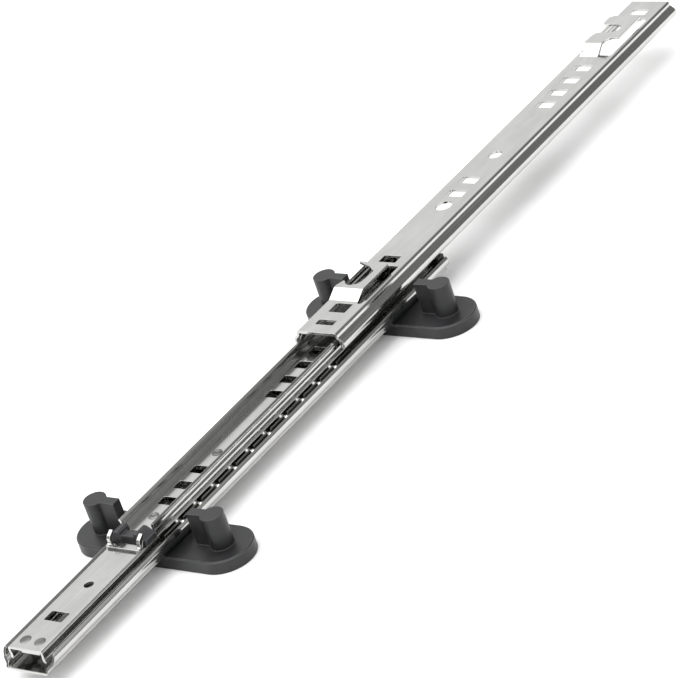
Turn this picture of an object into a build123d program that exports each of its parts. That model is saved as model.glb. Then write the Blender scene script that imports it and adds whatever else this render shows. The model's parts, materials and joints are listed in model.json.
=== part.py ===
"""Over-extension ball-bearing drawer slide on two plastic feet.

Two C rails face each other. The cabinet rail opens upwards and stands on the feet. The drawer
rail opens downwards. Between them runs a middle member: two channels set back to back, each
held in its own C rail by a strip of caged steel balls.

Frame: +X is the way the drawer pulls out, +Y is the left side seen along +X, +Z is up. The
origin is at the bottom centre of the slide with the drawer rail pulled out. Millimetres.
"""
import os
from math import cos, radians, sin

from build123d import *

os.makedirs("parts", exist_ok=True)

# Driving sizes
rail_length = 300.0  # cabinet rail and drawer rail
drawer_pull = 218.0  # how far the drawer rail stands out at rest
stack_height = 19.1  # from the cabinet rail's back to the drawer rail's back
floor_half = 11.05  # half width of a C rail's flat back
sheet = 1.2  # steel thickness of all four profiles
ball_radius = 1.75
ball_gap = 0.06  # running clearance between a ball and its track
ball_y = 10.95  # ball centre, out from the middle plane
ball_z = 5.6  # ball centre, in from a C rail's back
ball_pitch = 12.8
hole_pitch = 11.4  # square holes of the middle member
drawer_hole_pitch = 11.75  # square holes of the drawer rail
foot_plate = 6.0  # thickness of a foot's plate

# Stations along X
near_x = -(drawer_pull + rail_length) / 2  # near end of the cabinet rail
far_x = near_x + rail_length
drawer_x = near_x + drawer_pull  # near end of the drawer rail
lower_inner_x = near_x + 3.0
upper_inner_x = near_x + 81.5
middle_far_x = near_x + 301.0
foot_stations = {"rear_foot": near_x + 93.0, "front_foot": near_x + 268.0}

# Levels
rail_z = foot_plate  # back of the cabinet rail
mid_z = rail_z + stack_height / 2  # joint face of the two inner channels
top_z = rail_z + stack_height  # back of the drawer rail

# Ball tracks, as the centre line of the sheet round the ball centre
track_radius = ball_radius + ball_gap + sheet / 2
outer_wrap = (-52.0, 36.0)  # degrees from straight out
inner_wrap = (150.0, 215.0)

# Ball cages
cage_sheet = 0.5
pocket_radius = ball_radius + 0.07
cage_tie = 4.6
lower_cage_x = near_x + 83.6
lower_cage_length = 140.0
lower_ball_x = near_x + 96.0  # first ball
lower_ball_count = 10
upper_cage_x = drawer_x + 0.9
upper_cage_length = 80.0
upper_ball_x = drawer_x + 8.9
upper_ball_count = 6

# The two ways up: local x of both planes is across the slide, local y is in from a rail's back
upright = {"x_dir": (0, 1, 0), "z_dir": (1, 0, 0)}
inverted = {"x_dir": (0, -1, 0), "z_dir": (1, 0, 0)}


def on_track(degrees):
    """Point of a track's centre line."""
    angle = radians(degrees)
    return (ball_y + track_radius * cos(angle), ball_z + track_radius * sin(angle))


def past_track(degrees, distance):
    """Point off a track's end, along its tangent."""
    y, z = on_track(degrees)
    angle = radians(degrees)
    return (y - distance * sin(angle), z + distance * cos(angle))


def outer_section(plane):
    """C rail: flat back, short wall, shoulder, ball track and lip."""
    start, end = outer_wrap
    with BuildSketch(plane) as section:
        with BuildLine():
            FilletPolyline(
                (0, sheet / 2),
                (floor_half - sheet / 2, sheet / 2),
                past_track(start, -2.05),
                on_track(start),
                radius=0.8,
            )
            CenterArc((ball_y, ball_z), track_radius, start, end - start)
            Line(on_track(end), past_track(end, 0.6))
        trace(line_width=sheet)
        mirror(about=Plane.YZ)
    return section.sketch


def inner_section(plane):
    """Inner channel: web on the joint face, waisted walls that take the balls, flared rims."""
    start, end = inner_wrap
    web = stack_height / 2 - sheet / 2
    wall_y = on_track(start)[0] - 0.1
    with BuildSketch(plane) as section:
        with BuildLine():
            FilletPolyline((0, web), (wall_y, web), (wall_y, ball_z + 1.75), on_track(start), radius=0.62)
            CenterArc((ball_y, ball_z), track_radius, start, end - start)
            Line(on_track(end), past_track(end, 0.55))
        trace(line_width=sheet)
        mirror(about=Plane.YZ)
    return section.sketch


def cage_section(plane):
    """Ball cage: a strip along the C rail's floor with both sides standing up between the tracks."""
    with BuildSketch(plane) as section:
        with BuildLine():
            FilletPolyline(
                (0, 1.85),
                (9.1, 1.85),
                (9.75, 2.9),
                (10.6, 3.75),
                (ball_y, 4.6),
                (ball_y, 8.2),
                radius=0.4,
            )
        trace(line_width=cage_sheet)
        mirror(about=Plane.YZ)
    return section.sketch


def side_plane(y):
    """Plane seen from the right side: local x is +X, local y is +Z, extrusion runs to the right."""
    return Plane(origin=(0, y, 0), x_dir=(1, 0, 0), z_dir=(0, -1, 0))


def row(first, pitch, count, y=0.0):
    """Evenly spaced points along X."""
    return [(first + pitch * n, y) for n in range(count)]


# ---------------------------------------------------------------- punched patterns
middle_squares = row(near_x + 102.8, hole_pitch, 3) + row(near_x + 182.2, hole_pitch, 4)
middle_rivet_spots = [(near_x + 92.0, 0), (near_x + 138.0, 0), (near_x + 240.0, 0), (near_x + 281.0, 0)]
rear_stop_spots = [(near_x + 8.7, 3.9), (near_x + 8.7, -3.9)]
front_stop_spots = [(middle_far_x - 5.9, 3.9), (middle_far_x - 5.9, -3.9)]
rivet_radius = 1.6
rivet_hole_radius = 1.63

foot_screw_y = 5.0
screw_access_x = near_x + 46.1
foot_screw_spots = [(x, side * foot_screw_y) for x in foot_stations.values() for side in (1, -1)]

# ---------------------------------------------------------------- cabinet side, fixed
with BuildPart() as cabinet_rail:
    extrude(outer_section(Plane(origin=(near_x, 0, rail_z), **upright)), amount=rail_length)
    # The walls are cropped at a slant at the near end.
    with BuildSketch(side_plane(20)):
        with BuildLine():
            Polyline(
                (near_x - 1, rail_z + sheet),
                (near_x, rail_z + sheet),
                (near_x + 3.3, rail_z + 4.6),
                (near_x + 5.4, rail_z + 8.6),
                (near_x - 1, rail_z + 9),
                close=True,
            )
        make_face()
    extrude(amount=40, mode=Mode.SUBTRACT)
    with BuildSketch(Plane.XY.offset(rail_z)):
        with Locations((screw_access_x, 0)):
            Circle(2.2)
    extrude(amount=sheet, mode=Mode.SUBTRACT)
    with Locations(*[(x, y, rail_z + sheet) for x, y in foot_screw_spots]):
        CounterSinkHole(radius=1.6, counter_sink_radius=2.6, depth=sheet, counter_sink_angle=90)
cabinet_rail.part.label = "cabinet_rail"
export_step(cabinet_rail.part, "parts/cabinet_rail.step")

peg_y = 32.0
peg_radius = 5.2
peg_top_z = foot_plate + 15.2
plate_radius = 13.3
fin_width = 4.6
fin_end_y = 19.8

for foot_name, foot_x in foot_stations.items():
    with BuildPart() as foot:
        with BuildSketch(Plane(origin=(foot_x, 0, 0))):
            SlotCenterToCenter(2 * peg_y, 2 * plate_radius, rotation=90)
        extrude(amount=foot_plate)
        chamfer(foot.faces().sort_by(Axis.Z)[-1].edges(), 0.5)
        with BuildSketch(Plane(origin=(foot_x, 0, foot_plate))):
            for side in (1, -1):
                with Locations((0, side * peg_y)):
                    Circle(peg_radius)
                with Locations((0, side * (peg_y + fin_end_y) / 2)):
                    Rectangle(fin_width, peg_y - fin_end_y)
        extrude(amount=peg_top_z - foot_plate)
        fillet(foot.faces().filter_by_position(Axis.Z, peg_top_z - 0.1, peg_top_z + 0.1).edges(), 0.3)
        with BuildSketch(Plane(origin=(foot_x, 0, foot_plate))):
            with Locations((0, foot_screw_y), (0, -foot_screw_y)):
                Circle(1.55)
        extrude(amount=-5.0, mode=Mode.SUBTRACT)
    foot.part.label = foot_name
    export_step(foot.part, f"parts/{foot_name}.step")

screw_seat_z = rail_z + sheet - 0.05
with BuildPart() as foot_screws:
    with BuildSketch(side_plane(0)):
        with BuildLine():
            Polyline(
                (0, screw_seat_z),
                (2.5, screw_seat_z),
                (1.5, screw_seat_z - 1.0),
                (1.5, screw_seat_z - 5.0),
                (0, screw_seat_z - 5.6),
                close=True,
            )
        make_face()
    screw_blank = revolve(axis=Axis.Z, mode=Mode.PRIVATE)
    with Locations(*[(x, y, 0) for x, y in foot_screw_spots]):
        add(screw_blank)
    with BuildSketch(Plane.XY.offset(screw_seat_z)):
        with Locations(*foot_screw_spots):
            Rectangle(2.4, 0.5)
            Rectangle(0.5, 2.4)
    extrude(amount=-0.6, mode=Mode.SUBTRACT)
foot_screws.part.label = "foot_screws"
export_step(foot_screws.part, "parts/foot_screws.step")

stop_length = 4.7
for side, stop_name in ((1, "cage_stop_left"), (-1, "cage_stop_right")):
    with BuildPart() as cage_stop:
        with BuildSketch(Plane(origin=(far_x - stop_length, 0, rail_z), **upright)):
            with Locations((side * ball_y, ball_z)):
                Circle(ball_radius - 0.05)
            with Locations((side * 11.05, (ball_z + 9.3) / 2)):
                Rectangle(2.0, 9.3 - ball_z)
        extrude(amount=stop_length)
    cage_stop.part.label = stop_name
    export_step(cage_stop.part, f"parts/{stop_name}.step")

# ---------------------------------------------------------------- lower ball cage
with BuildPart() as lower_cage:
    extrude(cage_section(Plane(origin=(lower_cage_x, 0, rail_z), **upright)), amount=lower_cage_length)
    # Open-topped pockets, one for each ball
    with BuildSketch(side_plane(20)):
        with Locations(*row(lower_ball_x, ball_pitch, lower_ball_count, rail_z + ball_z)):
            Circle(pocket_radius)
        with Locations(*row(lower_ball_x, ball_pitch, lower_ball_count, rail_z + ball_z + 2)):
            Rectangle(2.8, 4)
    extrude(amount=40, mode=Mode.SUBTRACT)
    # Long opening that leaves a short tie at each end
    with BuildSketch(Plane.XY.offset(rail_z)):
        with Locations((lower_cage_x + lower_cage_length / 2, 0)):
            RectangleRounded(lower_cage_length - 2 * cage_tie, 15.6, 1.0)
    extrude(amount=3, mode=Mode.SUBTRACT)
lower_cage.part.label = "lower_cage"
export_step(lower_cage.part, "parts/lower_cage.step")

# ---------------------------------------------------------------- upper ball cage
with BuildPart() as upper_cage:
    extrude(cage_section(Plane(origin=(upper_cage_x, 0, top_z), **inverted)), amount=upper_cage_length)
    with BuildSketch(side_plane(20)):
        with Locations(*row(upper_ball_x, ball_pitch, upper_ball_count, top_z - ball_z)):
            Circle(pocket_radius)
        with Locations(*row(upper_ball_x, ball_pitch, upper_ball_count, top_z - ball_z - 2)):
            Rectangle(2.8, 4)
    extrude(amount=40, mode=Mode.SUBTRACT)
    with BuildSketch(Plane.XY.offset(top_z)):
        with Locations((upper_cage_x + upper_cage_length / 2, 0)):
            RectangleRounded(upper_cage_length - 2 * cage_tie, 15.6, 1.0)
    extrude(amount=-3, mode=Mode.SUBTRACT)
upper_cage.part.label = "upper_cage"
export_step(upper_cage.part, "parts/upper_cage.step")

# ---------------------------------------------------------------- balls
ball_rows = {
    "lower_balls_left": (lower_ball_x, lower_ball_count, 1, rail_z + ball_z),
    "lower_balls_right": (lower_ball_x, lower_ball_count, -1, rail_z + ball_z),
    "upper_balls_left": (upper_ball_x, upper_ball_count, 1, top_z - ball_z),
    "upper_balls_right": (upper_ball_x, upper_ball_count, -1, top_z - ball_z),
}
for row_name, (first_x, count, side, centre_z) in ball_rows.items():
    with BuildPart() as balls:
        with Locations(*[(x, y, centre_z) for x, y in row(first_x, ball_pitch, count, side * ball_y)]):
            Sphere(ball_radius)
    balls.part.label = row_name
    export_step(balls.part, f"parts/{row_name}.step")

# ---------------------------------------------------------------- middle member
with BuildPart() as lower_inner_rail:
    extrude(
        inner_section(Plane(origin=(lower_inner_x, 0, rail_z), **upright)),
        amount=middle_far_x - lower_inner_x,
    )
    with BuildSketch(Plane.XY.offset(mid_z)):
        with Locations((near_x + 24.6, 0)):
            RectangleRounded(5.9, 9.4, 0.5)
        with Locations((screw_access_x, 0)):
            Circle(2.15)
        with Locations(*middle_squares):
            RectangleRounded(5.8, 9.6, 0.5)
        with Locations(*middle_rivet_spots, *rear_stop_spots):
            Circle(rivet_hole_radius)
        with Locations(*front_stop_spots):
            Circle(2.8)
    extrude(amount=-2, mode=Mode.SUBTRACT)
lower_inner_rail.part.label = "lower_inner_rail"
export_step(lower_inner_rail.part, "parts/lower_inner_rail.step")

with BuildPart() as upper_inner_rail:
    extrude(
        inner_section(Plane(origin=(upper_inner_x, 0, top_z), **inverted)),
        amount=middle_far_x - upper_inner_x,
    )
    with BuildSketch(Plane.XY.offset(mid_z)):
        with Locations(*middle_squares):
            RectangleRounded(5.2, 9.0, 0.5)
        with Locations(*middle_rivet_spots, *front_stop_spots):
            Circle(rivet_hole_radius)
    extrude(amount=2, mode=Mode.SUBTRACT)
upper_inner_rail.part.label = "upper_inner_rail"
export_step(upper_inner_rail.part, "parts/upper_inner_rail.step")

with BuildPart() as middle_rivets:
    with BuildSketch(side_plane(0)):
        with BuildLine():
            Polyline(
                (0, mid_z + sheet + 0.2),
                (1.1, mid_z + sheet + 0.5),
                (2.1, mid_z + sheet + 0.4),
                (2.4, mid_z + sheet),
                (rivet_radius, mid_z + sheet),
                (rivet_radius, mid_z - sheet),
                (2.4, mid_z - sheet),
                (1.9, mid_z - sheet - 0.7),
                (0, mid_z - sheet - 0.7),
                close=True,
            )
        make_face()
    middle_rivet = revolve(axis=Axis.Z, mode=Mode.PRIVATE)
    with Locations(*[(x, y, 0) for x, y in middle_rivet_spots]):
        add(middle_rivet)
middle_rivets.part.label = "middle_rivets"
export_step(middle_rivets.part, "parts/middle_rivets.step")

# Angle plates inside the two channels. Their flaps catch the ends of the cages' floor strips.
stop_half = 7.2
flap_reach = 1.5  # how close a flap comes to the C rail's back
rear_flap_x = near_x + 13.2
front_flap_x = middle_far_x - 1.6
with BuildPart() as rear_stop:
    with BuildSketch(side_plane(stop_half)):
        with BuildLine():
            FilletPolyline(
                (near_x + 3.4, mid_z - 1.5 * sheet),
                (rear_flap_x - sheet / 2, mid_z - 1.5 * sheet),
                (rear_flap_x - sheet / 2, rail_z + flap_reach),
                radius=1.0,
            )
        trace(line_width=sheet)
    extrude(amount=2 * stop_half)
    with BuildSketch(Plane.XY.offset(mid_z)):
        with Locations(*rear_stop_spots):
            Circle(rivet_hole_radius)
        with Locations((near_x + 4.0, 5.4)):
            Rectangle(2.4, 5.6)
    extrude(amount=-4, mode=Mode.SUBTRACT)
rear_stop.part.label = "rear_stop"
export_step(rear_stop.part, "parts/rear_stop.step")

with BuildPart() as front_stop:
    with BuildSketch(side_plane(stop_half)):
        with BuildLine():
            FilletPolyline(
                (middle_far_x - 10.6, mid_z + 1.5 * sheet),
                (front_flap_x + sheet / 2, mid_z + 1.5 * sheet),
                (front_flap_x + sheet / 2, top_z - flap_reach),
                radius=1.0,
            )
        trace(line_width=sheet)
    extrude(amount=2 * stop_half)
    with BuildSketch(Plane.XY.offset(mid_z)):
        with Locations(*front_stop_spots):
            Circle(rivet_hole_radius)
    extrude(amount=4, mode=Mode.SUBTRACT)
front_stop.part.label = "front_stop"
export_step(front_stop.part, "parts/front_stop.step")

with BuildPart() as stop_rivets:
    with BuildSketch(side_plane(0)):
        with BuildLine():
            Polyline(
                (0, 0.35),
                (2.1, 0.35),
                (2.5, 0),
                (rivet_radius, 0),
                (rivet_radius, -2 * sheet),
                (2.3, -2 * sheet),
                (1.8, -2 * sheet - 0.8),
                (0, -2 * sheet - 0.8),
                close=True,
            )
        make_face()
    stop_rivet = revolve(axis=Axis.Z, mode=Mode.PRIVATE)
    with Locations(*[Location((x, y, mid_z)) for x, y in rear_stop_spots]):
        add(stop_rivet)
    with Locations(*[Location((x, y, mid_z), (180, 0, 0)) for x, y in front_stop_spots]):
        add(stop_rivet)
stop_rivets.part.label = "stop_rivets"
export_step(stop_rivets.part, "parts/stop_rivets.step")

# Steel lip across the middle member with two fingers that lean back over the buffer
bracket_x = near_x + 69.0
finger_y = 8.1
finger_half = 0.9
finger_base_x = bracket_x + 3.0
finger_path = [
    (bracket_x + 1.0, mid_z + sheet / 2),
    (finger_base_x, mid_z + sheet / 2),
    (finger_base_x - 0.2, mid_z + 3.6),
    (finger_base_x + 3.0, mid_z + 5.3),
]
buffer_x = near_x + 73.9
buffer_end_x = near_x + 80.9
with BuildPart() as stop_bracket:
    with BuildSketch(Plane.XY.offset(mid_z)):
        with Locations((bracket_x + 2.0, 0)):
            RectangleRounded(4.0, 2 * (finger_y + finger_half), 1.4)
    extrude(amount=sheet)
    for side in (1, -1):
        with BuildSketch(side_plane(side * finger_y + finger_half)):
            with BuildLine():
                FilletPolyline(*finger_path, radius=1.5)
            trace(line_width=sheet)
        extrude(amount=2 * finger_half)
stop_bracket.part.label = "stop_bracket"
export_step(stop_bracket.part, "parts/stop_bracket.step")

with BuildPart() as stop_buffer:
    # Two blocks with sloping outer shoulders, joined by a bar
    with BuildSketch(Plane(origin=(buffer_x, 0, mid_z), **upright)):
        with BuildLine():
            Polyline(
                (3.9, 0),
                (3.9, 4.7),
                (4.7, 5.45),
                (6.2, 5.45),
                (10.2, 2.8),
                (10.2, 0),
                close=True,
            )
        make_face()
        mirror(about=Plane.YZ)
    extrude(amount=buffer_end_x - buffer_x)
    with BuildSketch(Plane.XY.offset(mid_z)):
        with Locations((near_x + 76.7, 0)):
            Rectangle(4.2, 8.4)
    extrude(amount=3.4)
    # Rebates for the fingers
    for side in (1, -1):
        with BuildSketch(side_plane(side * finger_y + finger_half + 0.15)):
            with BuildLine():
                FilletPolyline(*finger_path, radius=1.5)
            trace(line_width=sheet + 0.3)
        extrude(amount=2 * finger_half + 0.3, mode=Mode.SUBTRACT)
stop_buffer.part.label = "stop_buffer"
export_step(stop_buffer.part, "parts/stop_buffer.step")

# ---------------------------------------------------------------- drawer side
drawer_squares = row(117.2, drawer_hole_pitch, 2) + row(198.2, drawer_hole_pitch, 4)
drawer_rounds = {106.2: 3.95, 151.8: 3.25}
hook_one_base = 25.2
hook_one_rise = 3.1
hook_two_base = 244.0
hook_two_rise = 4.2
bend_radius = 2.8

with BuildPart() as drawer_rail:
    extrude(outer_section(Plane(origin=(drawer_x, 0, top_z), **inverted)), amount=rail_length)
    with BuildSketch(Plane(origin=(drawer_x, 0, top_z))):
        with Locations(*drawer_squares):
            RectangleRounded(5.7, 9.3, 0.5)
        for station, radius in drawer_rounds.items():
            with Locations((station, 0)):
                Circle(radius)
        with Locations((8.2, 0)):
            RectangleRounded(3.8, 9.6, 0.5)
        with Locations((19.9, 0)):
            RectangleRounded(7.0, 9.0, 0.5)
        with Locations((60.4, 0)):
            RectangleRounded(5.4, 9.2, 0.5)
        with Locations((289.0, -0.25)):
            RectangleRounded(5.5, 8.7, 0.5)
        # Openings the two hooks were cut from
        with Locations((40.45, 0.95)):
            RectangleRounded(29.1, 18.7, 0.6)
        with Locations((39.5, -7.15)):
            SlotOverall(31.0, 2.5)
        with Locations((262.4, -0.25)):
            RectangleRounded(33.0, 17.3, 0.6)
        with Locations((269.0, -5.95)):
            RectangleRounded(27.0, 5.9, 2.4)
    extrude(amount=-sheet, mode=Mode.SUBTRACT)
    # First hook: a wide ramp, then a plateau with a slanted notch open to the left
    with BuildSketch(side_plane(10.3)):
        with BuildLine():
            FilletPolyline(
                (drawer_x + hook_one_base - 1.2, top_z - sheet / 2),
                (drawer_x + hook_one_base + 0.3, top_z - sheet / 2),
                (drawer_x + hook_one_base + 6.0, top_z - sheet / 2 + hook_one_rise),
                (drawer_x + hook_one_base + 8.0, top_z - sheet / 2 + hook_one_rise),
                radius=bend_radius,
            )
        trace(line_width=sheet)
    extrude(amount=16.1)
    with BuildSketch(Plane(origin=(drawer_x, 0, top_z + hook_one_rise))):
        with BuildLine():
            Polyline(
                (hook_one_base + 7.4, 10.3),
                (36.9, 8.8),
                (36.4, 8.0),
                (34.3, 6.2),
                (33.5, 4.4),
                (33.7, 2.2),
                (35.0, 0.0),
                (36.8, -1.1),
                (45.6, -1.8),
                (49.2, 2.9),
                (51.9, 10.3),
                (52.7, 10.3),
                (52.7, -4.8),
                (51.7, -5.8),
                (hook_one_base + 7.4, -5.8),
                close=True,
            )
        make_face()
    extrude(amount=-sheet)
    # Second hook: a narrow ramp, then a wider plateau with a round-ended notch open to the left
    with BuildSketch(side_plane(8.2)):
        with BuildLine():
            FilletPolyline(
                (drawer_x + hook_two_base - 1.2, top_z - sheet / 2),
                (drawer_x + hook_two_base + 0.3, top_z - sheet / 2),
                (drawer_x + hook_two_base + 6.4, top_z - sheet / 2 + hook_two_rise),
                (drawer_x + hook_two_base + 8.2, top_z - sheet / 2 + hook_two_rise),
                radius=bend_radius,
            )
        trace(line_width=sheet)
    extrude(amount=10.4)
    with BuildSketch(Plane(origin=(drawer_x, 0, top_z - sheet))):
        with BuildLine():
            Polyline((246.0, 7.0), (251.0, 8.3), (246.0, 8.3), close=True)
        make_face()
    extrude(amount=sheet + hook_two_rise, mode=Mode.SUBTRACT)
    with BuildSketch(Plane(origin=(drawer_x, 0, top_z + hook_two_rise))):
        with BuildLine():
            Polyline(
                (261.0, 0),
                (261.0, 5.4),
                (259.8, 7.2),
                (257.2, 8.1),
                (hook_two_base + 7.6, 8.2),
                (hook_two_base + 7.6, -2.2),
                (253.2, -2.4),
                (255.2, -3.6),
                (256.0, -5.0),
                (256.0, -8.7),
                (277.0, -8.7),
                (277.5, -8.2),
                (277.5, 6.6),
                (276.6, 8.0),
                (275.2, 8.6),
                (271.2, 8.6),
                (269.6, 7.9),
                (269.0, 6.6),
                (269.0, 0),
            )
            ThreePointArc((269.0, 0), (265.0, -4.0), (261.0, 0))
        make_face()
    extrude(amount=-sheet)
drawer_rail.part.label = "drawer_rail"
export_step(drawer_rail.part, "parts/drawer_rail.step")
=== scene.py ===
"""Looks of the over-extension drawer slide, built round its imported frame. Metres."""
import json
import math

import bmesh
import bpy
from mathutils import Matrix, Vector
from mathutils.bvhtree import BVHTree


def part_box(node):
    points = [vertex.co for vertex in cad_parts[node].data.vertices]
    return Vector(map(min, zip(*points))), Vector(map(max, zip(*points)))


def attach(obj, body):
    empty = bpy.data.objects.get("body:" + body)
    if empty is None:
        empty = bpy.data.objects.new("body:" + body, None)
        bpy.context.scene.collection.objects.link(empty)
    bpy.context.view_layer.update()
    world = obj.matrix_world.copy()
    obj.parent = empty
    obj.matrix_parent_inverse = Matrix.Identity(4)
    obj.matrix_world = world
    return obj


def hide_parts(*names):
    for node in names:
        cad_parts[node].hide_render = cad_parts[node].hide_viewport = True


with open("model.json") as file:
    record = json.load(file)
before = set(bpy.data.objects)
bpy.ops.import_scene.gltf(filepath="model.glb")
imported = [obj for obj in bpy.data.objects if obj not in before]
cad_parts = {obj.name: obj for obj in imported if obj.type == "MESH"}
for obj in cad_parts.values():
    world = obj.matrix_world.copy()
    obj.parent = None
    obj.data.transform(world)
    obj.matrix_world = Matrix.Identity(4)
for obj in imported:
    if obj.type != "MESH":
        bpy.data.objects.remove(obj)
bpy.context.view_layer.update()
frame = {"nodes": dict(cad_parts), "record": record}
scene = bpy.context.scene
scene.view_settings.view_transform = "Standard"
MM = 0.001


# ------------------------------------------------------------------ camera
camera_data = bpy.data.cameras.new("camera")
camera_data.sensor_width = 36
camera_data.lens = 174.6
camera_data.shift_x = 0.0097
camera_data.shift_y = 0.0021
camera_data.clip_start = 0.05
camera_data.clip_end = 50
camera = bpy.data.objects.new("camera", camera_data)
scene.collection.objects.link(camera)
scene.camera = camera
view_axis = Vector((0.63635, 0.61604, -0.46428)).normalized()
right_axis = Vector((0.54526, -0.78495, -0.29420))
right_axis = (right_axis - view_axis * right_axis.dot(view_axis)).normalized()
up_axis = right_axis.cross(view_axis)
camera.matrix_world = Matrix.Translation((-0.9501, -0.8883, 0.6849)) @ Matrix(
    (right_axis, up_axis, -view_axis)
).transposed().to_4x4()


# ------------------------------------------------------------------ material helpers
def linear(hex_colour):
    """sRGB hex to a linear RGBA tuple."""
    values = []
    for i in (0, 2, 4):
        c = int(hex_colour[i : i + 2], 16) / 255
        values.append(c / 12.92 if c <= 0.04045 else ((c + 0.055) / 1.055) ** 2.4)
    return (*values, 1.0)


def node(tree, kind, settings=None, **inputs):
    """Adds a node. settings are its properties; inputs are constants or sockets, by socket name."""
    new = tree.nodes.new(kind)
    for key, value in (settings or {}).items():
        setattr(new, key, value)
    for key, value in inputs.items():
        socket = new.inputs[int(key[1:])] if key[0] == "i" and key[1:].isdigit() else new.inputs[key.replace("_", " ")]
        if isinstance(value, bpy.types.NodeSocket):
            tree.links.new(value, socket)
        else:
            socket.default_value = value
    return new


def new_material(name):
    material = bpy.data.materials.new(name)
    material.use_nodes = True
    tree = material.node_tree
    tree.nodes.clear()
    coords = node(tree, "ShaderNodeTexCoord").outputs["Object"]
    return material, tree, coords


def stretched(tree, coords, scale):
    """Object coordinates scaled per axis, for grain that runs one way."""
    return node(tree, "ShaderNodeMapping", i0=coords, Scale=scale).outputs[0]


def noise(tree, coords, scale, detail=4.0, roughness=0.55):
    made = node(tree, "ShaderNodeTexNoise", Vector=coords, Scale=scale, Detail=detail, Roughness=roughness)
    return made.outputs["Fac"]


def remap(tree, value, low, high, to_low, to_high):
    made = node(tree, "ShaderNodeMapRange", Value=value, From_Min=low, From_Max=high, To_Min=to_low, To_Max=to_high)
    return made.outputs[0]


def blend_colour(tree, fac, a, b, kind="MIX"):
    made = node(tree, "ShaderNodeMix", {"data_type": "RGBA", "blend_type": kind}, i0=fac, i6=a, i7=b)
    return made.outputs[2]


def finish_material(tree, colour, roughness, metallic, bump, ior=None):
    shader = node(tree, "ShaderNodeBsdfPrincipled", Base_Color=colour, Roughness=roughness, Metallic=metallic, Normal=bump)
    if ior:
        shader.inputs["IOR"].default_value = ior
    output = node(tree, "ShaderNodeOutputMaterial")
    tree.links.new(shader.outputs[0], output.inputs[0])


def steel(name, light, dark, rough_low, rough_high, grain=1.0, clouding=1.0):
    """Cold-rolled strip or turned steel under thin zinc: faint plating clouds, fine grain along the rail,
    a few worn streaks and a roughness that changes slowly."""
    material, tree, coords = new_material(name)
    clouds = noise(tree, stretched(tree, coords, (45.0, 130.0, 130.0)), 1.0, 4.0, 0.55)  # about 10 mm
    spangle = noise(tree, coords, 1400.0, 2.0, 0.5)  # crystals about 0.7 mm
    along = noise(tree, stretched(tree, coords, (14.0, 1600.0, 1600.0)), 1.0, 3.0, 0.6)  # rolling grain
    streaks = noise(tree, stretched(tree, coords, (9.0, 420.0, 420.0)), 1.0, 5.0, 0.6)  # worn lines
    colour = blend_colour(tree, remap(tree, clouds, 0.35, 0.65, 0.0, clouding), linear(light), linear(dark))
    colour = blend_colour(tree, remap(tree, spangle, 0.4, 0.7, 0.0, 0.08), colour, linear(dark))
    colour = blend_colour(tree, remap(tree, streaks, 0.60, 0.74, 0.0, 0.22), colour, linear("F6F6F5"))
    rough = remap(tree, streaks, 0.3, 0.7, rough_low, rough_high)
    spread = remap(tree, clouds, 0.35, 0.65, -0.02, 0.025)
    rough = node(tree, "ShaderNodeMath", {"operation": "ADD", "use_clamp": True}, i0=rough, i1=spread).outputs[0]
    bump = node(tree, "ShaderNodeBump", Height=along, Strength=0.22 * grain, Distance=0.004 * MM)
    finish_material(tree, colour, rough, 1.0, bump.outputs[0])
    return material


def plastic(name, face, worn, edge_highlight_colour, rough, speckle=1.0, ior=1.49):
    """Injection-moulded polymer: spark-eroded texture, faint flow clouds and a painted highlight that lightens the
    edges.
    """
    material, tree, coords = new_material(name)
    clouds = noise(tree, coords, 110.0, 4.0, 0.6)  # flow marks about 9 mm
    grain_value = noise(tree, coords, 2600.0, 3.0, 0.6)  # moulded texture about 0.4 mm
    rubs = noise(tree, stretched(tree, coords, (300.0, 500.0, 240.0)), 1.0, 5.0, 0.7)
    rounded = node(tree, "ShaderNodeBevel", {"samples": 6}, Radius=0.5 * MM).outputs[0]
    flat = node(tree, "ShaderNodeNewGeometry").outputs["Normal"]
    turn = node(tree, "ShaderNodeVectorMath", {"operation": "DOT_PRODUCT"}, i0=rounded, i1=flat).outputs["Value"]
    painted_edge_highlight = remap(tree, turn, 0.99, 0.93, 0.0, 0.8)  # painted highlight on the edges, over half a millimetre
    colour = blend_colour(tree, remap(tree, clouds, 0.35, 0.65, 0.0, 0.35), linear(face), linear(worn))
    # Painted highlight: the edges are lightened in the base colour itself.
    colour = blend_colour(tree, painted_edge_highlight, colour, linear(edge_highlight_colour))
    colour = blend_colour(tree, remap(tree, rubs, 0.62, 0.8, 0.0, 0.3), colour, linear(worn))
    rough_value = remap(tree, clouds, 0.3, 0.7, rough - 0.05, rough + 0.05)
    bump = node(tree, "ShaderNodeBump", Height=grain_value, Strength=0.3 * speckle, Distance=0.03 * MM)
    finish_material(tree, colour, rough_value, 0.0, bump.outputs[0], ior)
    return material


materials = {
    "zinc_steel": steel("bright_zinc_plated_strip", "C8C8C6", "BEBEBC", 0.12, 0.20),
    "cage_steel": steel("rolled_cage_strip", "A2A2A0", "8C8C8A", 0.24, 0.38),
    "ball_steel": steel("hardened_balls", "E2E2E0", "D8D8D6", 0.06, 0.12, 0.0),
    "rivet_steel": steel("rivet_steel", "8A8A88", "5E5E5C", 0.32, 0.48, 3.0),
    "screw_steel": steel("screw_steel", "BEBEBA", "9A9A98", 0.25, 0.38, 0.3),
    "foot_plastic": plastic("dark_grey_polymer", "161617", "2E2F31", "5E5F61", 0.42),
    "buffer_plastic": plastic("grey_buffer_polymer", "222224", "3C3D3F", "68696B", 0.45),
    "black_plastic": plastic("black_polymer", "0B0B0C", "1C1C1D", "3A3A3B", 0.42),
}
node_slots = {item["node"]: item["material_slot"] for item in frame["record"]["subparts"]}


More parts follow.
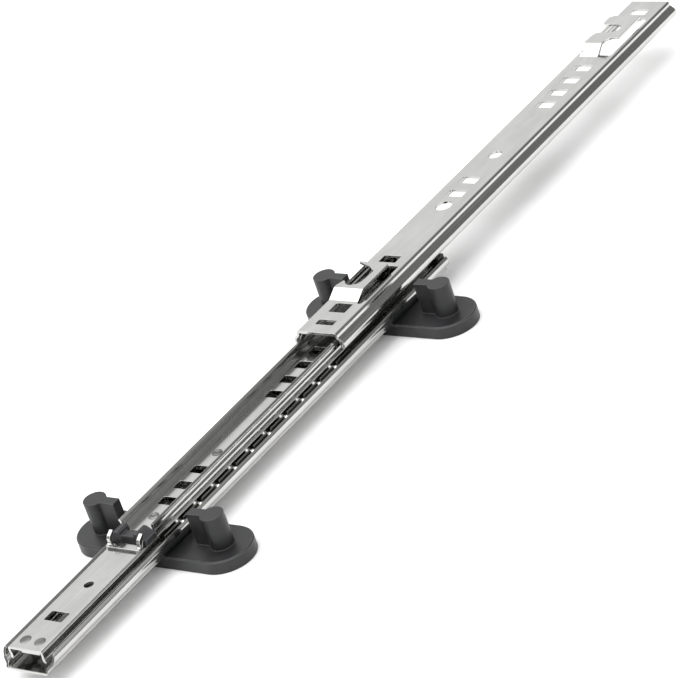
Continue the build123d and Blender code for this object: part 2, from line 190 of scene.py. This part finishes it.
# ------------------------------------------------------------------ pieces that keep their CAD shape
def dress(node_name, body, bevel_mm, angle=60.0):
    """A merged copy of a CAD node with small rounded edges. It stands for the node."""
    source = frame["nodes"][node_name]
    mesh = source.data.copy()
    work = bmesh.new()
    work.from_mesh(mesh)
    exact = BVHTree.FromBMesh(work)
    bmesh.ops.remove_doubles(work, verts=work.verts, dist=1e-6)
    bmesh.ops.dissolve_degenerate(work, edges=work.edges, dist=1e-6)
    bmesh.ops.dissolve_limit(work, verts=work.verts, edges=work.edges, angle_limit=math.radians(0.6), use_dissolve_boundaries=False)
    bmesh.ops.recalc_face_normals(work, faces=work.faces)
    work.to_mesh(mesh)
    work.free()
    for name in [a.name for a in mesh.attributes if a.name == "custom_normal"]:
        mesh.attributes.remove(mesh.attributes[name])
    mesh.shade_smooth()
    mesh.set_sharp_from_angle(angle=math.radians(38))
    shape = bpy.data.objects.new(node_name + "_shape", mesh)
    scene.collection.objects.link(shape)
    if bevel_mm:
        bevel = shape.modifiers.new("edges", "BEVEL")
        bevel.width = bevel_mm * MM
        bevel.segments = 2
        bevel.limit_method = "ANGLE"
        bevel.angle_limit = math.radians(angle)
        bevel.use_clamp_overlap = False
        bevel.harden_normals = True
    weighted = shape.modifiers.new("flat_faces_stay_flat", "WEIGHTED_NORMAL")
    weighted.keep_sharp = True
    weighted.weight = 100
    bpy.context.view_layer.update()
    final = bpy.data.meshes.new_from_object(shape.evaluated_get(bpy.context.evaluated_depsgraph_get()))
    bpy.data.objects.remove(shape)
    # A vertex that the rounding threw off the piece goes back onto its surface.
    for vertex in final.vertices:
        nearest, _, _, gap = exact.find_nearest(vertex.co)
        if gap > 1.2 * bevel_mm * MM:
            vertex.co = nearest
    final.name = node_name + "_dressed"
    final.materials.clear()
    final.materials.append(materials[node_slots[node_name]])
    piece = bpy.data.objects.new(node_name + "_dressed", final)
    scene.collection.objects.link(piece)
    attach(piece, body)
    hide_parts(node_name)
    return piece


dressed_widths = {
    "cabinet_rail": 0.12,
    "lower_inner_rail": 0.12,
    "upper_inner_rail": 0.12,
    "drawer_rail": 0.12,
    "stop_bracket": 0.2,
    "stop_buffer": 0.35,
    "rear_stop": 0.12,
    "front_stop": 0.12,
    "lower_cage": 0.05,
    "upper_cage": 0.05,
    "rear_foot": 0.25,
    "front_foot": 0.25,
    "cage_stop_left": 0.2,
    "cage_stop_right": 0.2,
    "foot_screws": 0.05,
}
body_of_node = {n: body for body, members in frame["record"]["behaviour"]["bodies"].items() for n in members}
for node_name, width in dressed_widths.items():
    dress(node_name, body_of_node[node_name], width)


# ------------------------------------------------------------------ repeated turned pieces
def turned(name, profile, steps=40):
    """Closed turned piece from a half profile of (radius, height) in mm that starts and ends on the axis."""
    points = []
    rings = []
    for radius, height in profile:
        if radius == 0:
            rings.append([len(points)] * steps)
            points.append((0, 0, height * MM))
            continue
        rings.append(list(range(len(points), len(points) + steps)))
        for i in range(steps):
            angle = 2 * math.pi * i / steps
            points.append((radius * MM * math.cos(angle), radius * MM * math.sin(angle), height * MM))
    faces = []
    for upper, lower in zip(rings, rings[1:]):
        for i in range(steps):
            j = (i + 1) % steps
            faces.append(list(dict.fromkeys((upper[i], lower[i], lower[j], upper[j]))))
    mesh = bpy.data.meshes.new(name)
    mesh.from_pydata(points, [], faces)
    mesh.shade_smooth()
    mesh.set_sharp_from_angle(angle=math.radians(50))
    piece = bpy.data.objects.new(name, mesh)
    scene.collection.objects.link(piece)
    return piece


def islands(node_name):
    """Centre of every separate solid of a CAD node."""
    work = bmesh.new()
    work.from_mesh(frame["nodes"][node_name].data)
    bmesh.ops.remove_doubles(work, verts=work.verts, dist=1e-6)
    left = set(work.verts)
    centres = []
    while left:
        front = [left.pop()]
        found = []
        while front:
            vertex = front.pop()
            found.append(vertex.co.copy())
            for edge in vertex.link_edges:
                other = edge.other_vert(vertex)
                if other in left:
                    left.remove(other)
                    front.append(other)
        low = Vector([min(co[i] for co in found) for i in range(3)])
        high = Vector([max(co[i] for co in found) for i in range(3)])
        centres.append((low + high) / 2)
    work.free()
    return sorted(centres, key=lambda c: (round(c.x, 5), c.y))


def set_out_group():
    """Stands a piece on every point, turned at random about its axis, tipped over where marked."""
    group = bpy.data.node_groups.new("set_out", "GeometryNodeTree")
    sockets = {
        "Points": "NodeSocketGeometry",
        "Piece": "NodeSocketObject",
        "Turn": "NodeSocketFloat",
        "Seed": "NodeSocketInt",
        "Finish": "NodeSocketMaterial",
    }
    for label, kind in sockets.items():
        group.interface.new_socket(label, in_out="INPUT", socket_type=kind)
    group.interface.new_socket("Pieces", in_out="OUTPUT", socket_type="NodeSocketGeometry")
    given = node(group, "NodeGroupInput").outputs
    shape = node(group, "GeometryNodeObjectInfo", Object=given["Piece"]).outputs["Geometry"]
    turn = node(group, "FunctionNodeRandomValue", {"data_type": "FLOAT"}, i3=given["Turn"], Seed=given["Seed"])
    tipped = node(group, "GeometryNodeInputNamedAttribute", {"data_type": "FLOAT"}, Name="tipped")
    facing = node(group, "ShaderNodeCombineXYZ", X=tipped.outputs["Attribute"], Z=turn.outputs[1])
    stood = node(
        group, "GeometryNodeInstanceOnPoints", Points=given["Points"], Instance=shape, Rotation=facing.outputs[0]
    )
    solid = node(group, "GeometryNodeRealizeInstances", Geometry=stood.outputs[0])
    dressed = node(group, "GeometryNodeSetMaterial", Geometry=solid.outputs[0], Material=given["Finish"])
    node(group, "NodeGroupOutput", Pieces=dressed.outputs[0])
    return group


set_out = set_out_group()


def stand_pieces(node_name, piece, seed, tipped_over=lambda centre: False):
    """One object that holds a copy of the piece at every solid of the node."""
    centres = islands(node_name)
    mesh = bpy.data.meshes.new(node_name + "_points")
    mesh.from_pydata(centres, [], [])
    tipped = mesh.attributes.new("tipped", "FLOAT", "POINT")
    for i, centre in enumerate(centres):
        tipped.data[i].value = math.pi if tipped_over(centre) else 0.0
    holder = bpy.data.objects.new(node_name + "_points", mesh)
    scene.collection.objects.link(holder)
    modifier = holder.modifiers.new("set_out", "NODES")
    modifier.node_group = set_out
    values = {"Piece": piece, "Turn": 6.28, "Seed": seed, "Finish": materials[node_slots[node_name]]}
    for item in set_out.interface.items_tree:
        if item.item_type == "SOCKET" and item.in_out == "INPUT" and item.name in values:
            modifier[item.identifier] = values[item.name]
    bpy.context.view_layer.update()
    final = bpy.data.meshes.new_from_object(holder.evaluated_get(bpy.context.evaluated_depsgraph_get()))
    bpy.data.objects.remove(holder)
    shown = bpy.data.objects.new(node_name + "_set", final)
    scene.collection.objects.link(shown)
    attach(shown, body_of_node[node_name])
    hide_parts(node_name)


ball_low, ball_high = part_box("lower_balls_left")
ball_radius = (ball_high[2] - ball_low[2]) / 2 / MM
ball_profile = [(ball_radius * math.sin(math.pi * i / 18), ball_radius * math.cos(math.pi * i / 18)) for i in range(19)]
ball_profile[0] = (0, ball_radius)
ball_profile[-1] = (0, -ball_radius)
ball = turned("ball", ball_profile)
for seed, node_name in enumerate(("lower_balls_left", "lower_balls_right", "upper_balls_left", "upper_balls_right")):
    stand_pieces(node_name, ball, seed)

# Heights in both rivet profiles are from the middle of the rivet.
middle_rivet = turned(
    "middle_rivet",
    [(0, 1.48), (0.8, 1.5), (1.0, 1.58), (1.25, 1.72), (1.6, 1.79), (1.95, 1.74), (2.25, 1.55), (2.38, 1.3), (1.6, 1.29)]
    + [(1.6, -1.11), (2.38, -1.12), (2.25, -1.45), (1.9, -1.74), (0, -1.8)],
)
stand_pieces("middle_rivets", middle_rivet, 11)
stop_rivet = turned(
    "stop_rivet",
    [(0, 1.66), (0.5, 1.7), (0.9, 1.64), (1.4, 1.76), (2.0, 1.74), (2.35, 1.58), (2.48, 1.42), (1.6, 1.41)]
    + [(1.6, -0.97), (2.28, -0.98), (2.2, -1.3), (1.8, -1.73), (0, -1.77)],
)
stand_pieces("stop_rivets", stop_rivet, 12, lambda centre: centre.x > 0)
for sample in (ball, middle_rivet, stop_rivet):
    bpy.data.objects.remove(sample)


# ------------------------------------------------------------------ floor, light and sky
floor_material, tree, coords = new_material("pale_floor")
specks = noise(tree, coords, 40.0)
floor_colour = blend_colour(tree, remap(tree, specks, 0.3, 0.7, 0.0, 1.0), linear("F2F2F2"), linear("F6F6F6"))
floor_bump = node(tree, "ShaderNodeBump", Height=specks, Strength=0.02, Distance=0.1 * MM)
finish_material(tree, floor_colour, 0.9, 0.0, floor_bump.outputs[0])
floor_mesh = bpy.data.meshes.new("floor")
floor_mesh.from_pydata([(-20, -20, 0), (20, -20, 0), (20, 20, 0), (-20, 20, 0)], [], [(0, 1, 2, 3)])
floor_mesh.materials.append(floor_material)
floor = bpy.data.objects.new("floor", floor_mesh)
scene.collection.objects.link(floor)

# One broad soft light, high on the left
sun_data = bpy.data.lights.new("soft_key", "SUN")
sun_data.energy = 2.4
sun_data.angle = math.radians(72)
sun = bpy.data.objects.new("soft_key", sun_data)
sun.rotation_euler = Vector((-0.06, 0.24, 0.97)).to_track_quat("Z", "Y").to_euler()
scene.collection.objects.link(sun)

world = bpy.data.worlds.new("studio")
scene.world = world
world.use_nodes = True
tree = world.node_tree
tree.nodes.clear()
direction = node(tree, "ShaderNodeTexCoord").outputs["Generated"]
split = node(tree, "ShaderNodeSeparateXYZ", Vector=direction)
height = split.outputs["Z"]


def towards(direction_out, from_value, to_value):
    """0 to 1 as the sky direction turns towards the given one."""
    dot = node(tree, "ShaderNodeVectorMath", {"operation": "DOT_PRODUCT"}, i0=direction, i1=direction_out)
    return remap(tree, dot.outputs["Value"], from_value, to_value, 0.0, 1.0)


def product(a, b):
    return node(tree, "ShaderNodeMath", {"operation": "MULTIPLY"}, i0=a, i1=b).outputs[0]


rise = remap(tree, height, 0.06, 0.30, 0.0, 1.0)
far_wall = product(product(towards((0.60, 0.80, 0.0), 0.25, 0.72), rise), 0.86)  # pale wall, far left
near_panel = product(product(towards((-0.66, -0.62, 0.43), 0.15, 0.5), rise), 1.15)  # panel behind the camera
strength = node(tree, "ShaderNodeMath", {"operation": "ADD"}, i0=far_wall, i1=near_panel).outputs[0]
strength = node(tree, "ShaderNodeMath", {"operation": "ADD"}, i0=strength, i1=0.21).outputs[0]
sky = node(tree, "ShaderNodeBackground", Color=(1, 1, 1, 1), Strength=strength)
output = node(tree, "ShaderNodeOutputWorld")
tree.links.new(sky.outputs[0], output.inputs[0])
